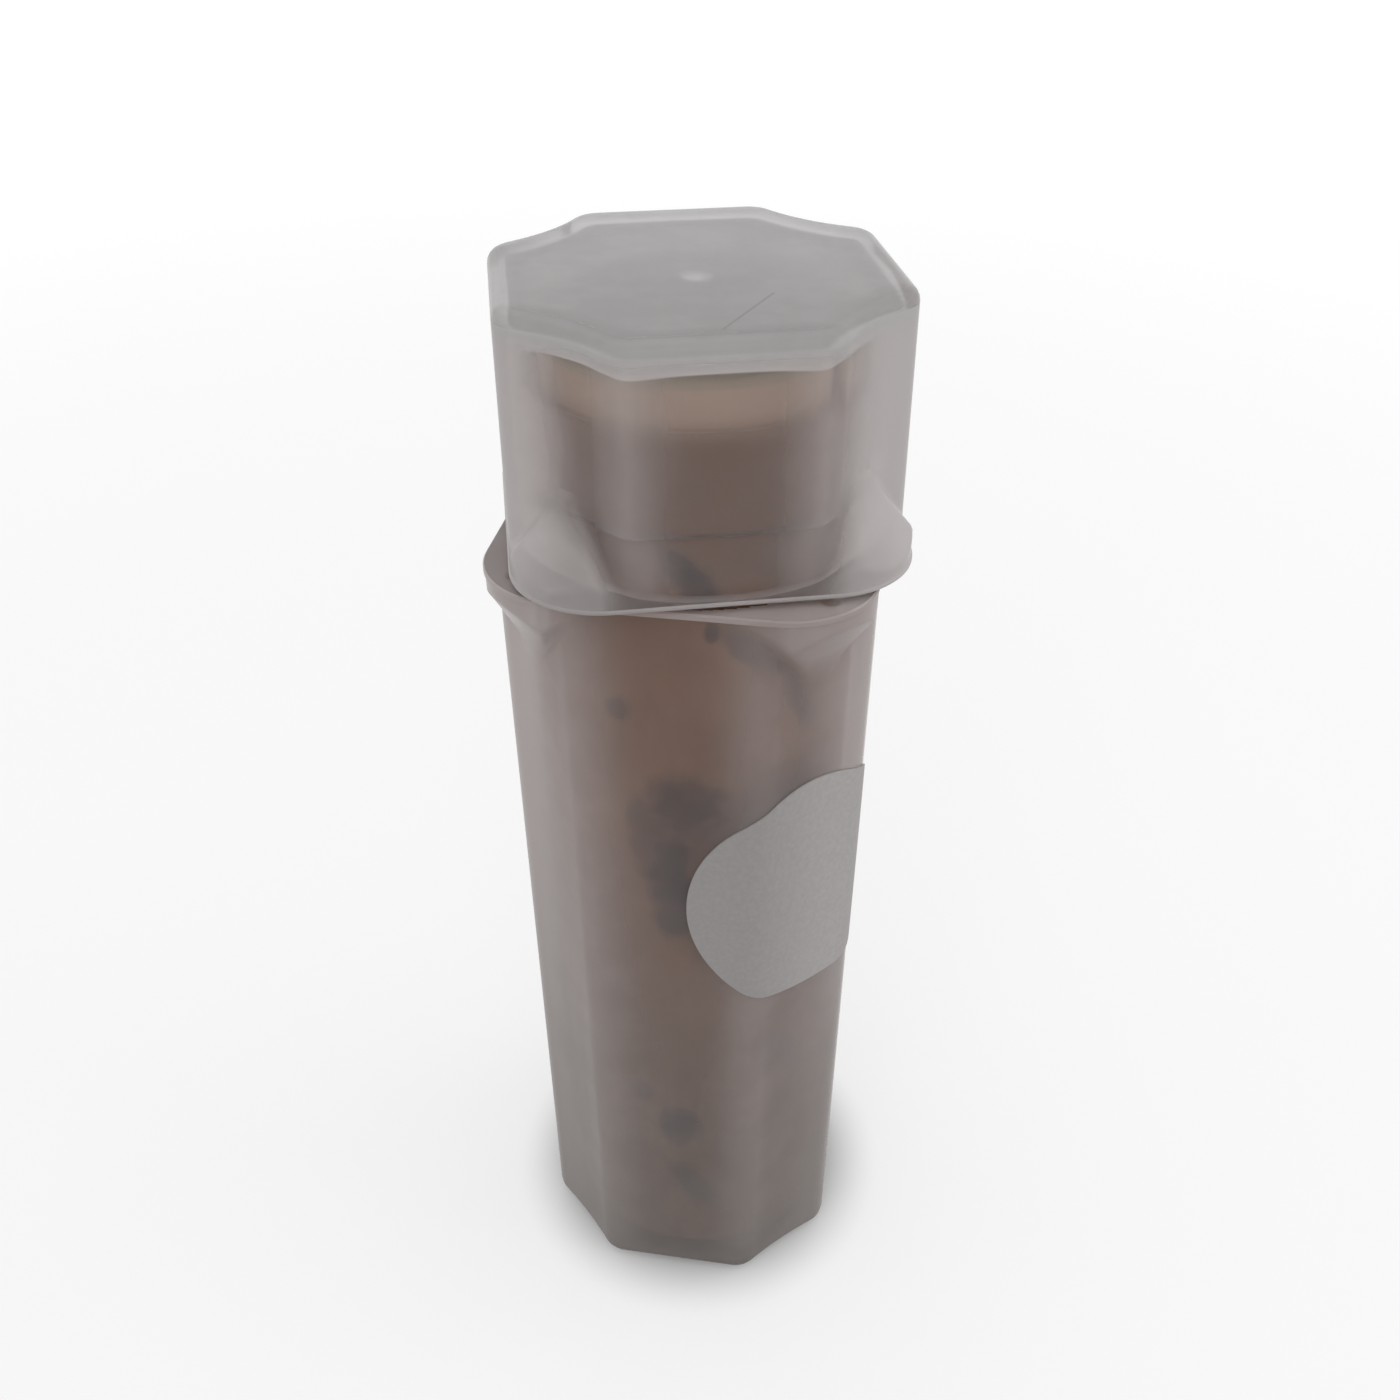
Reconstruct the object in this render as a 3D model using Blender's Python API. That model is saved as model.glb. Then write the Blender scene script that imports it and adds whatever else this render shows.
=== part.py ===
"""Coin roll in a capped tube, in metres, +Z up.

Fifty coins sit in a crimped paper wrapper. The wrapped roll stands in a frosted plastic tube with a
scalloped outside, a round neck and a push-on cap, and a round paper label is stuck on the tube.
The origin is under the middle of the tube's base, and the tube's flats face X and Y.
"""

import math

import bmesh
import bpy
from mathutils import Matrix, Vector

MM = 0.001

# The coins
COIN_COUNT = 50
COIN_RADIUS = 9.525 * MM
COIN_THICKNESS = 1.52 * MM
COIN_GAP = 0.02 * MM
COIN_RIM_WIDTH = 1.0 * MM
COIN_FIELD_DEPTH = 0.12 * MM

# The paper wrapper, rolled in over the end coins
PAPER_WALL = 0.30 * MM
COIN_PLAY = 0.10 * MM
CRIMP_THICKNESS = 0.60 * MM
CRIMP_WIDTH = 2.8 * MM
CRIMP_ROUND = 0.25 * MM
SHOULDER_ROUND = 0.55 * MM

# The tube
ROLL_PLAY = 0.30 * MM
FLOOR_THICKNESS = 1.0 * MM
FLOOR_GAP = 0.30 * MM
BORE_DRAFT = 0.0015
BASE_WALL = 1.55 * MM
BASE_ROUND = 1.3 * MM
TUBE_DRAFT = 0.0085
TUBE_FLAT_HALF = 5.77 * MM
TUBE_SCALLOP = 0.26 * MM
NECK_WALL = 0.90 * MM
NECK_HEIGHT = 10.85 * MM
RIM_ROUND = 0.25 * MM
ROLL_STANDS_PROUD = 2.75 * MM
TUBE_FLANGE = 0.50 * MM

# The cap
CAP_TURN = math.radians(17.1)
CAP_PLAY = 0.15 * MM
CAP_SEAT_GAP = 0.40 * MM
CAP_ROOM = 1.7 * MM
CAP_TOP = 1.3 * MM
CAP_WALL = 0.90 * MM
CAP_DRAFT = 0.0071
CAP_FLAT_HALF = 6.25 * MM
CAP_SCALLOP = 0.81 * MM
CAP_EDGE_ROUND = 0.9 * MM
CAP_FLANGE = 0.32 * MM
GRIP_WALL = 1.02 * MM
GRIP_HEIGHT = 4.3 * MM
MOUTH_CHAMFER = 0.35 * MM
GATE_RADIUS = 0.75 * MM
GATE_TIP_RADIUS = 0.38 * MM
GATE_HEIGHT = 0.25 * MM

# Shared by the tube and the cap: rounded corners, flange, ears and gussets
CORNER_ROUND = 2.2 * MM
FLANGE_PROUD = 0.12 * MM
EAR_ROUND = 5.8 * MM
EAR_EDGE = 0.9 * MM
GUSSET_HEIGHT = 6.0 * MM
GUSSET_REACH = 5.0 * MM
GUSSET_TIP = 0.3 * MM
GUSSET_HOLLOW = 1.3
PIN_MARK_RADIUS = 0.75 * MM
PIN_MARK_DEPTH = 0.15 * MM
PIN_MARK_INSET = 1.7 * MM

# The round label
LABEL_RADIUS = 9.525 * MM
LABEL_THICKNESS = 0.12 * MM
LABEL_GAP = 0.05 * MM
LABEL_LEVEL = 42.3 * MM
LABEL_SHIFT = 0.5 * MM

# How finely round forms are faceted
BORE_SIDES = 72
COIN_SIDES = 32
END_COIN_SIDES = 48
WRAPPER_SIDES = 48
MARK_SIDES = 12
GUSSET_SIDES = 24
FILLET_STEPS = 4
SCALLOP_STEPS = 8
EAR_STEPS = 8
ROUND_STEPS = 3
GUSSET_STEPS = 6
LABEL_COLUMNS = 36
SMOOTH_ANGLE = math.radians(32)
# How far a cutter or a joined piece runs past the face that it meets
OVERRUN = 1.0 * MM
# The small step between faces of joined shapes that would else lie in one plane
FACE_STEP = 0.02 * MM

# Levels and radii that follow from those sizes
wrapper_inside = COIN_RADIUS + COIN_PLAY
wrapper_outside = wrapper_inside + PAPER_WALL
stack_height = COIN_COUNT * COIN_THICKNESS + (COIN_COUNT - 1) * COIN_GAP
roll_height = stack_height + 2 * (CRIMP_THICKNESS + COIN_PLAY)
roll_bottom = FLOOR_THICKNESS + FLOOR_GAP
roll_top = roll_bottom + roll_height
bore_at_floor = wrapper_outside + ROLL_PLAY
rim_level = roll_top - ROLL_STANDS_PROUD
bore_at_rim = bore_at_floor + BORE_DRAFT * (rim_level - FLOOR_THICKNESS)
neck_outside = bore_at_rim + NECK_WALL
flange_top = rim_level - NECK_HEIGHT
tube_half = bore_at_floor + BASE_WALL
cap_bottom = flange_top + CAP_SEAT_GAP
cap_height = roll_top + CAP_ROOM + CAP_TOP - cap_bottom
grip_radius = neck_outside + CAP_PLAY
cap_half = grip_radius + GRIP_WALL - CAP_DRAFT * cap_height


class Scalloped:
    """The plan of a square tube whose corners are shallow scallops, grown or shrunk by an even offset."""

    def __init__(self, half, flat_half, scallop, corner):
        self.half = half
        self.corner = corner
        self.middle = (half + flat_half) / math.sqrt(2) - scallop
        reach = half ** 2 + flat_half ** 2 - self.middle ** 2
        away = reach / (math.sqrt(2) * (half + flat_half) - 2 * self.middle)
        self.scallop_radius = away - self.middle
        self.scallop_centre = Vector((away, -away)) / math.sqrt(2)
        # The corner's circle touches the flat at -Y from inside, and the scallop's circle from outside.
        rise = self.half - self.corner + self.scallop_centre.y
        run = math.sqrt((self.scallop_radius + self.corner) ** 2 - rise ** 2)
        self.corner_centre = Vector((self.scallop_centre.x - run, self.corner - self.half))

    def quarter(self, offset):
        """One corner's points, from the flat at -Y round to the flat at +X."""
        inward = (self.corner_centre - self.scallop_centre).normalized()
        turn = math.atan2(-inward.x, inward.y)
        fillet = []
        for step in range(FILLET_STEPS + 1):
            angle = math.radians(-90) + turn * step / FILLET_STEPS
            arm = Vector((math.cos(angle), math.sin(angle)))
            fillet.append(self.corner_centre + arm * (self.corner + offset))
        start = math.atan2(inward.y, inward.x)
        sweep = 2 * (math.radians(135) - start)
        hollow = []
        for step in range(1, SCALLOP_STEPS):
            angle = start + sweep * step / SCALLOP_STEPS
            arm = Vector((math.cos(angle), math.sin(angle)))
            hollow.append(self.scallop_centre + arm * (self.scallop_radius - offset))
        mirrored = [Vector((-point.y, -point.x)) for point in reversed(fillet)]
        return fillet + hollow + mirrored

    def ring(self, offset, level):
        points = []
        for quarter_turn in range(4):
            spin = Matrix.Rotation(quarter_turn * math.pi / 2, 2)
            points += [(spin @ point).to_3d() + Vector((0, 0, level)) for point in self.quarter(offset)]
        return points


def circle(radius, level, sides):
    turns = [2 * math.pi * side / sides for side in range(sides)]
    return [Vector((radius * math.cos(turn), radius * math.sin(turn), level)) for turn in turns]


def rounded_square(half, corner, level):
    points = []
    for quarter_turn in range(4):
        middle = math.radians(45 + 90 * quarter_turn)
        centre = Vector((math.cos(middle), math.sin(middle), 0)) * (half - corner) * math.sqrt(2)
        for step in range(EAR_STEPS + 1):
            angle = middle + math.radians(90 * step / EAR_STEPS - 45)
            arm = Vector((math.cos(angle), math.sin(angle), 0))
            points.append(centre + arm * corner + Vector((0, 0, level)))
    return points


def loft(rings, hollow=False):
    """A closed skin through rings of points, with flat ends, or joined end to end where it is hollow."""
    shape = bmesh.new()
    loops = [[shape.verts.new(point) for point in ring] for ring in rings]
    pairs = list(zip(loops, loops[1:]))
    if hollow:
        pairs.append((loops[-1], loops[0]))
    else:
        shape.faces.new(reversed(loops[0]))
        shape.faces.new(loops[-1])
    for lower, upper in pairs:
        for index in range(len(lower)):
            after = (index + 1) % len(lower)
            shape.faces.new((lower[index], lower[after], upper[after], upper[index]))
    bmesh.ops.recalc_face_normals(shape, faces=shape.faces)
    return shape


def turned(profile, sides, hollow=False):
    """A loft of circles through (radius, level) points."""
    return loft([circle(radius, level, sides) for radius, level in profile], hollow)


def joined(shapes):
    """Separate shapes in one mesh, to be used together as one cutter."""
    whole = bmesh.new()
    for shape in shapes:
        copy = bpy.data.meshes.new("copy")
        shape.to_mesh(copy)
        whole.from_mesh(copy)
        bpy.data.meshes.remove(copy)
    return whole


def at_corners(shape, radius):
    """Four copies of a shape, one on each diagonal at this distance from the axis."""
    copies = []
    for quarter_turn in range(4):
        spin = Matrix.Rotation(math.radians(45 + 90 * quarter_turn), 4, "Z")
        copy = shape.copy()
        bmesh.ops.transform(copy, matrix=spin @ Matrix.Translation((radius, 0, 0)), verts=copy.verts)
        copies.append(copy)
    return joined(copies)


def scratch_object(shape):
    mesh = bpy.data.meshes.new("scratch")
    shape.to_mesh(mesh)
    helper = bpy.data.objects.new("scratch", mesh)
    helper.hide_render = True
    helper.display_type = "WIRE"
    bpy.context.scene.collection.objects.link(helper)
    return helper


def carved(base, steps):
    """The base after a row of (operation, shape) Booleans."""
    body = scratch_object(base)
    helpers = []
    for operation, shape in steps:
        helper = scratch_object(shape)
        boolean = body.modifiers.new(operation.lower(), "BOOLEAN")
        boolean.operation = operation
        boolean.solver = "EXACT"
        boolean.object = helper
        helpers.append(helper)
    bpy.context.view_layer.update()
    evaluated = body.evaluated_get(bpy.context.evaluated_depsgraph_get())
    result = bmesh.new()
    result.from_mesh(evaluated.to_mesh())
    evaluated.to_mesh_clear()
    for helper in helpers + [body]:
        mesh = helper.data
        bpy.data.objects.remove(helper)
        bpy.data.meshes.remove(mesh)
    return result


def plain_material(name, colour, roughness, metallic=0.0, alpha=1.0):
    material = bpy.data.materials.new(name)
    material.use_nodes = True
    shader = material.node_tree.nodes["Principled BSDF"]
    shader.inputs["Base Color"].default_value = (*colour, 1.0)
    shader.inputs["Roughness"].default_value = roughness
    shader.inputs["Metallic"].default_value = metallic
    shader.inputs["Alpha"].default_value = alpha
    return material


def add_piece(name, shape, material, parent):
    mesh = bpy.data.meshes.new(name)
    shape.to_mesh(mesh)
    mesh.shade_smooth()
    mesh.set_sharp_from_angle(angle=SMOOTH_ANGLE)
    mesh.materials.append(material)
    return place(name, mesh, parent)


def place(name, mesh, parent):
    piece = bpy.data.objects.new(name, mesh)
    piece.parent = parent
    bpy.context.scene.collection.objects.link(piece)
    return piece


def add_axis(name, parent=None, level=0.0, turn=0.0):
    axis = bpy.data.objects.new(name, None)
    axis.empty_display_size = COIN_RADIUS
    axis.parent = parent
    axis.location.z = level
    axis.rotation_euler.z = turn
    bpy.context.scene.collection.objects.link(axis)
    return axis


def quarter_round(radius):
    """(inset, rise) steps round an edge of this radius, from the flat face to the wall."""
    angles = [math.pi / 2 * step / ROUND_STEPS for step in range(ROUND_STEPS + 1)]
    return [(radius * (1 - math.sin(angle)), radius * (1 - math.cos(angle))) for angle in angles]


def flange_and_gussets(half, scallop_middle, thickness, underside):
    """The flange's plate from level 0 up, its four gussets above it, and the distance to an ear's tip.

    With underside the same form hangs from level 0 down.
    """
    square = half + FLANGE_PROUD
    tip = square * math.sqrt(2) - EAR_ROUND * (math.sqrt(2) - 1)
    plate = loft([rounded_square(square, EAR_ROUND, level) for level in (0, thickness)])
    inset = square - FACE_STEP
    levels = (thickness / 2, GUSSET_HEIGHT + OVERRUN)
    prism = loft([rounded_square(inset, EAR_ROUND, level) for level in levels])
    bell = [(tip + OVERRUN, 0), (tip + OVERRUN, EAR_EDGE)]
    for step in range(GUSSET_STEPS + 1):
        share = step / GUSSET_STEPS
        flare = (tip - scallop_middle) * (1 - share) ** GUSSET_HOLLOW
        bell.append((scallop_middle + flare, EAR_EDGE + (GUSSET_HEIGHT - EAR_EDGE) * share))
    cone = turned([(GUSSET_REACH, 0), (GUSSET_TIP, GUSSET_HEIGHT)], GUSSET_SIDES)
    cones = at_corners(cone, scallop_middle)
    gussets = carved(prism, [("INTERSECT", turned(bell, BORE_SIDES)), ("INTERSECT", cones)])
    if underside:
        for shape in (plate, gussets):
            bmesh.ops.scale(shape, vec=(1, 1, -1), verts=shape.verts)
            bmesh.ops.reverse_faces(shape, faces=shape.faces)
    return plate, gussets, tip


def raised(shape, level):
    bmesh.ops.translate(shape, vec=(0, 0, level), verts=shape.verts)
    return shape


def pin_marks(tip, face_level):
    """Shallow round ejector marks, one on each ear, cut into the face at this level from both sides."""
    levels = (face_level - PIN_MARK_DEPTH, face_level + PIN_MARK_DEPTH)
    mark = turned([(PIN_MARK_RADIUS, level) for level in levels], MARK_SIDES)
    return at_corners(mark, tip - PIN_MARK_INSET)


def tube_plan():
    return Scalloped(tube_half, TUBE_FLAT_HALF, TUBE_SCALLOP, CORNER_ROUND)


def tube_shape():
    plan = tube_plan()
    rings = [plan.ring(TUBE_DRAFT * rise - inset, rise) for inset, rise in quarter_round(BASE_ROUND)]
    rings.append(plan.ring(TUBE_DRAFT * flange_top, flange_top))
    half_there = tube_half + TUBE_DRAFT * flange_top
    middle_there = plan.middle + TUBE_DRAFT * flange_top
    plate, gussets, tip = flange_and_gussets(half_there, middle_there, TUBE_FLANGE, True)
    neck = [(neck_outside, flange_top - TUBE_FLANGE), (neck_outside, rim_level - RIM_ROUND)]
    neck.append((neck_outside - RIM_ROUND, rim_level))
    bore = [(bore_at_floor, FLOOR_THICKNESS)]
    bore.append((bore_at_rim + BORE_DRAFT * OVERRUN, rim_level + OVERRUN))
    return carved(
        loft(rings),
        [
            ("UNION", raised(plate, flange_top + FACE_STEP)),
            ("UNION", raised(gussets, flange_top)),
            ("UNION", turned(neck, BORE_SIDES)),
            ("DIFFERENCE", turned(bore, BORE_SIDES)),
            ("DIFFERENCE", pin_marks(tip, flange_top + FACE_STEP)),
        ],
    )


def cap_shape():
    """The cap with its lower rim at level 0, and the moulding gate's nub under the middle of its ceiling."""
    plan = Scalloped(cap_half, CAP_FLAT_HALF, CAP_SCALLOP, CORNER_ROUND)
    grown = CAP_DRAFT * cap_height
    rings = [plan.ring(grown - FACE_STEP, FACE_STEP)]
    for inset, drop in reversed(quarter_round(CAP_EDGE_ROUND)):
        rings.append(plan.ring(CAP_DRAFT * drop - inset, cap_height - drop))
    plate, gussets, tip = flange_and_gussets(cap_half + grown, plan.middle + grown, CAP_FLANGE, False)
    ceiling = cap_height - CAP_TOP
    hollow = [
        plan.ring(CAP_DRAFT * (cap_height - level) - CAP_WALL, level) for level in (GRIP_HEIGHT, ceiling)
    ]
    grip = [
        (grip_radius + MOUTH_CHAMFER + OVERRUN, -OVERRUN),
        (grip_radius, MOUTH_CHAMFER),
        (grip_radius, GRIP_HEIGHT + OVERRUN),
    ]
    gate = [(GATE_TIP_RADIUS, ceiling - GATE_HEIGHT), (GATE_RADIUS, ceiling)]
    gate.append((GATE_RADIUS, ceiling + GATE_HEIGHT))
    return carved(
        loft(rings),
        [
            ("UNION", plate),
            ("UNION", gussets),
            ("DIFFERENCE", loft(hollow)),
            ("DIFFERENCE", turned(grip, BORE_SIDES)),
            ("UNION", turned(gate, MARK_SIDES)),
            ("DIFFERENCE", pin_marks(tip, 0)),
        ],
    )


def wrapper_shape():
    """The paper sleeve from level 0 up, with its ends rolled in over the end coins."""
    lip = wrapper_outside - CRIMP_WIDTH
    shoulder = [
        (wrapper_outside - inset, rise) for inset, rise in quarter_round(SHOULDER_ROUND)
    ]
    half_profile = [
        (wrapper_inside, CRIMP_THICKNESS),
        (lip + CRIMP_ROUND, CRIMP_THICKNESS),
        (lip, CRIMP_THICKNESS - CRIMP_ROUND),
        (lip, CRIMP_ROUND),
        (lip + CRIMP_ROUND, 0),
    ] + shoulder
    other_half = [(radius, roll_height - level) for radius, level in reversed(half_profile)]
    return turned(half_profile + other_half, WRAPPER_SIDES, hollow=True)


def coin_shape(sides, raised_rim):
    """A coin from level 0 up, with the field sunk inside its rim on both faces if it has a raised rim."""
    edge = [(COIN_RADIUS, 0), (COIN_RADIUS, COIN_THICKNESS)]
    if not raised_rim:
        return turned(edge, sides)
    inner = COIN_RADIUS - COIN_RIM_WIDTH
    field = inner - COIN_FIELD_DEPTH
    lower = [(field, COIN_FIELD_DEPTH), (inner, 0)]
    upper = [(inner, COIN_THICKNESS), (field, COIN_THICKNESS - COIN_FIELD_DEPTH)]
    return turned(lower + edge + upper, sides)


def label_shape():
    """The label on the tube's outside, wrapped over the scallop between the flats at -Y and +X."""
    plan = tube_plan()
    front = tube_half * Vector((0, -1))
    side = tube_half * Vector((1, 0))

    def path(offset):
        """The wall's outline from the middle of one flat to the middle of the next."""
        grow = 1 + offset / tube_half
        return [front * grow] + plan.quarter(offset) + [side * grow]

    at_level = path(TUBE_DRAFT * LABEL_LEVEL)
    lengths = [0.0]
    for here, there in zip(at_level, at_level[1:]):
        lengths.append(lengths[-1] + (there - here).length)
    centre = lengths[-1] / 2 + LABEL_SHIFT
    turns = [math.pi * column / LABEL_COLUMNS for column in range(1, LABEL_COLUMNS)]
    stops = [centre - LABEL_RADIUS * math.cos(turn) for turn in turns]
    outermost = LABEL_RADIUS * math.cos(turns[0])
    stops += [length for length in lengths if abs(length - centre) < outermost]

    def point_at(stop, level, offset):
        outline = path(TUBE_DRAFT * level + offset)
        index = max(i for i in range(len(lengths) - 1) if lengths[i] <= stop)
        share = (stop - lengths[index]) / (lengths[index + 1] - lengths[index])
        return outline[index].lerp(outline[index + 1], share).to_3d() + Vector((0, 0, level))

    rings = []
    for stop in sorted(stops):
        half_height = math.sqrt(LABEL_RADIUS ** 2 - (stop - centre) ** 2)
        low = LABEL_LEVEL - half_height
        high = LABEL_LEVEL + half_height
        under = LABEL_GAP
        over = LABEL_GAP + LABEL_THICKNESS
        corners = ((low, under), (low, over), (high, over), (high, under))
        rings.append([point_at(stop, level, offset) for level, offset in corners])
    return loft(rings)


def build():
    for existing in list(bpy.data.objects):
        bpy.data.objects.remove(existing)
    frosted = plain_material("frosted_plastic", (0.62, 0.61, 0.60), 0.42, alpha=0.55)
    kraft = plain_material("kraft_paper", (0.20, 0.12, 0.085), 0.85)
    white_paper = plain_material("white_paper", (0.74, 0.73, 0.72), 0.75)
    copper = plain_material("worn_copper", (0.45, 0.22, 0.12), 0.38, metallic=1.0)

    stand = add_axis("stand")
    add_piece("tube", tube_shape(), frosted, stand)
    add_piece("round_label", label_shape(), white_paper, stand)

    roll = add_axis("roll_axis", stand, level=roll_bottom)
    add_piece("paper_wrapper", wrapper_shape(), kraft, roll)
    sealed = None
    for number in range(COIN_COUNT):
        name = f"coin_{number + 1:02d}"
        if number in (0, COIN_COUNT - 1):
            coin = add_piece(name, coin_shape(END_COIN_SIDES, True), copper, roll)
        elif sealed is None:
            coin = add_piece(name, coin_shape(COIN_SIDES, False), copper, roll)
            sealed = coin.data
        else:
            coin = place(name, sealed, roll)
        coin.location.z = CRIMP_THICKNESS + COIN_PLAY + number * (COIN_THICKNESS + COIN_GAP)

    cap_axis = add_axis("cap_axis", roll, level=cap_bottom - roll_bottom, turn=CAP_TURN)
    add_piece("cap", cap_shape(), frosted, cap_axis)


build()
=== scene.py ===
"""The looks of a coin roll in its capped tube: frosted plastic, kraft paper, worn copper and a label.

Lengths are in metres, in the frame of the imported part: +Z up, the tube's flats square to X and Y.
The materials measure in millimetres, and their tones are linear red, green and blue.
"""

import math
from collections import namedtuple

import bpy
import numpy as np
from mathutils import Matrix, Vector


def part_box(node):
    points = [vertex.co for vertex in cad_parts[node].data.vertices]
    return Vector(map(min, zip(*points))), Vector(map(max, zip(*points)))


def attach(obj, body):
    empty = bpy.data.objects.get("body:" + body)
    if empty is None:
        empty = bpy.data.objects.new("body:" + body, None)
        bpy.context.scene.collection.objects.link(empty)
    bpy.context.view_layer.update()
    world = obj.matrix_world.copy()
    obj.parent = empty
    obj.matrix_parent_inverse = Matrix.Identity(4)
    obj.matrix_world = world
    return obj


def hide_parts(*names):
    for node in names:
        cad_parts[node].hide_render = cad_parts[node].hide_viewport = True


MM = 0.001
FULL_TURN = 2 * math.pi
QUARTER_TURN = math.pi / 2

# The camera, as solved from the photograph
CAMERA_PLACE = Vector((13.10, -81.72, 109.08)) * MM
CAMERA_DOWN = math.radians(34.97)
CAMERA_TURN = math.radians(8.98)
CAMERA_ROLL = math.radians(-0.08)
CAMERA_NEAR = 5.0 * MM
SENSOR_WIDTH = 36.0
FOCAL_LENGTH = 36.0

# The tube
ROLL_PLAY = 0.30 * MM
FLOOR_THICKNESS = 1.0 * MM
FLOOR_ROUND = 0.6 * MM
BORE_DRAFT = 0.0015
BASE_WALL = 1.55 * MM
BASE_ROUND = 1.3 * MM
TUBE_DRAFT = 0.0085
TUBE_FLAT_HALF = 5.77 * MM
TUBE_SCALLOP = 0.26 * MM
NECK_WALL = 0.90 * MM
NECK_HEIGHT = 10.85 * MM
NECK_FILLET = 0.35 * MM
RIM_ROUND = 0.25 * MM
TUBE_FLANGE = 0.50 * MM

# The cap
CAP_TURN = math.radians(17.1)
CAP_PLAY = 0.15 * MM
CAP_TOP = 1.3 * MM
CAP_WALL = 0.90 * MM
CAP_DRAFT = 0.0071
CAP_FLAT_HALF = 6.25 * MM
CAP_SCALLOP = 0.81 * MM
CAP_EDGE_ROUND = 0.9 * MM
CAP_FLANGE = 0.32 * MM
GRIP_WALL = 1.02 * MM
GRIP_HEIGHT = 4.3 * MM
LEDGE_STEP = 0.25 * MM
INSIDE_FILLET = 1.0 * MM
MOUTH_CHAMFER = 0.35 * MM
GATE_RADIUS = 0.75 * MM
GATE_HEIGHT = 0.25 * MM
GATE_TAPER = 1.5

# Shared by the tube and the cap
CORNER_ROUND = 2.2 * MM
FLANGE_PROUD = 0.12 * MM
FLANGE_ROUND = 0.10 * MM
EAR_ROUND = 5.8 * MM
EAR_EDGE = 0.6 * MM
GUSSET_HEIGHT = 6.0 * MM
GUSSET_REACH = 5.0 * MM
GUSSET_TIP = 0.3 * MM
GUSSET_HOLLOW = 1.3
GUSSET_FILLET = 0.8 * MM
GUSSET_SOFTEN = 0.32 * MM
PIN_MARK_RADIUS = 0.75 * MM
PIN_MARK_DEPTH = 0.15 * MM
PIN_MARK_INSET = 1.7 * MM
PIN_MARK_SLOPE = 0.4

# The paper wrapper. The waves that make its pleats uneven have a count, a height and a phase.
# A ripple's half width is a share of a coin's thickness.
CRIMP_WIDTH = 2.8 * MM
CRIMP_THICKNESS = 0.60 * MM
CRIMP_ROUND = 0.25 * MM
SHOULDER_ROUND = 0.55 * MM
PAPER_WALL = 0.30 * MM
PLEATS = 46
PLEAT_DEPTH = 0.09 * MM
PLEAT_WAVES = ((5, 0.6, 0), (11, 0.4, 1))
LIP_WAVE = 0.25 * MM
COIN_COUNT = 50
COIN_RIPPLE = 0.025 * MM
RIPPLE_HALF = 0.25
SEAM_STEP = 0.09 * MM
SEAM_FROM = math.radians(150)
SEAM_FADE = math.radians(70)

# The coins
COIN_RIM_WIDTH = 1.0 * MM
COIN_EDGE = 0.08 * MM
COIN_FIELD_DEPTH = 0.12 * MM
FIELD_START = 0.3 * MM
FIELD_MARGIN = 0.2 * MM
RELIEF = 0.08 * MM
PETALS = 8
PETAL_REACH = 5.6 * MM
PETAL_FULLNESS = 0.7
PETAL_EDGE = 0.8 * MM
PETAL_RISE = 1.6 * MM
BEADS = 60
BEAD_INSET = 0.8 * MM
BEAD_HALF = 0.4 * MM

# The round label
LABEL_RADIUS = 9.525 * MM
LABEL_THICKNESS = 0.12 * MM
LABEL_GAP = 0.05 * MM
LABEL_LEVEL = 42.3 * MM
LABEL_SHIFT = 0.5 * MM

# How finely the skins are divided
PLASTIC_COLUMNS = 480
PAPER_COLUMNS = 184
COIN_COLUMNS = 240
LABEL_COLUMNS = 72
LABEL_ROWS = 16
LABEL_STEPS = 400
OUTLINE_STEPS = 60
ROUND_STEPS = 5
TUBE_RINGS = 16
TUBE_RINGS_FROM = 4.0 * MM
CAP_RINGS = 8
GUSSET_RINGS = 26
PLATE_RINGS = 18
BORE_RINGS = 12
INSIDE_RINGS = 6
CRIMP_RINGS = 9
FIELD_RINGS = 40
BASE_SHARES = (0.1, 0.6, 0.9)
FLOOR_SHARES = (0.6, 0.1)
TOP_SHARES = np.linspace(0.1, 1, 10)
CEILING_SHARES = np.linspace(0.98, 0.2, 6)
GATE_SHARES = (1.4, 1.15, 1.0, 0.85, 0.7, 0.5, 0.3, 0.1)
SHARP_ANGLE = math.radians(40)
COIN_SHARP_ANGLE = math.radians(32)

# The finishes of the two mouldings' skins, in the order of their materials. The fifth is painted shade: a
# dark clear tint on the cap's ledge, round the root of the tube's neck and on the tube's flange next to it,
# in the slit under the cap
SKIN, CAP, INSIDE, BORE, PAINTED_SHADE, CEILING, NECK, PLATE = range(8)

# How hazy the plastic's skins are, from clear at 0 to milky at 1, and how far a haze reaches
CORNER_SPREAD = 2.0 * MM
TUBE_HAZE = 0.12
TUBE_CORNER_HAZE = 0.22
LOW_HAZE = 0.08
LOW_CORNER_HAZE = 0.2
LOW_REACH = 45.0 * MM
TUBE_FLARE_HAZE = 0.56
CAP_CORNER_HAZE = 0.05
CAP_FLARE_HAZE = 0.52
FLARE_FULL = 1.2 * MM
INSIDE_HAZE = 0.18
INSIDE_CORNER_HAZE = 0.26
PLATE_HAZE = 0.62
PIN_MARK_HAZE = 0.45
EDGE_HAZE = 0.6
FLOOR_HAZE = 0.3
INSIDE_FLOOR_HAZE = 0.6
TOP_HAZE = 0.28
TOP_EDGE_HAZE = 0.6
CEILING_HAZE = 0.62
# How far out from the neck the tube's flange takes the dark tint of painted shade, under the slit between
# the flanges
SLIT_SHADE_REACH = 0.8 * MM

# The pale band at the top of the cap's inside, painted light that stands for the light seen through the gap
# above the roll; it follows the outline in part
PAINTED_LIGHT_BAND_HAZE = 0.95
BAND_WIDTH = 0.3 * MM
BAND_DEEP = 0.72 * MM
BAND_FOLLOW = 0.5
BAND_SOFTEN = 0.12
BAND_EDGE = 0.12 * MM

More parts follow.
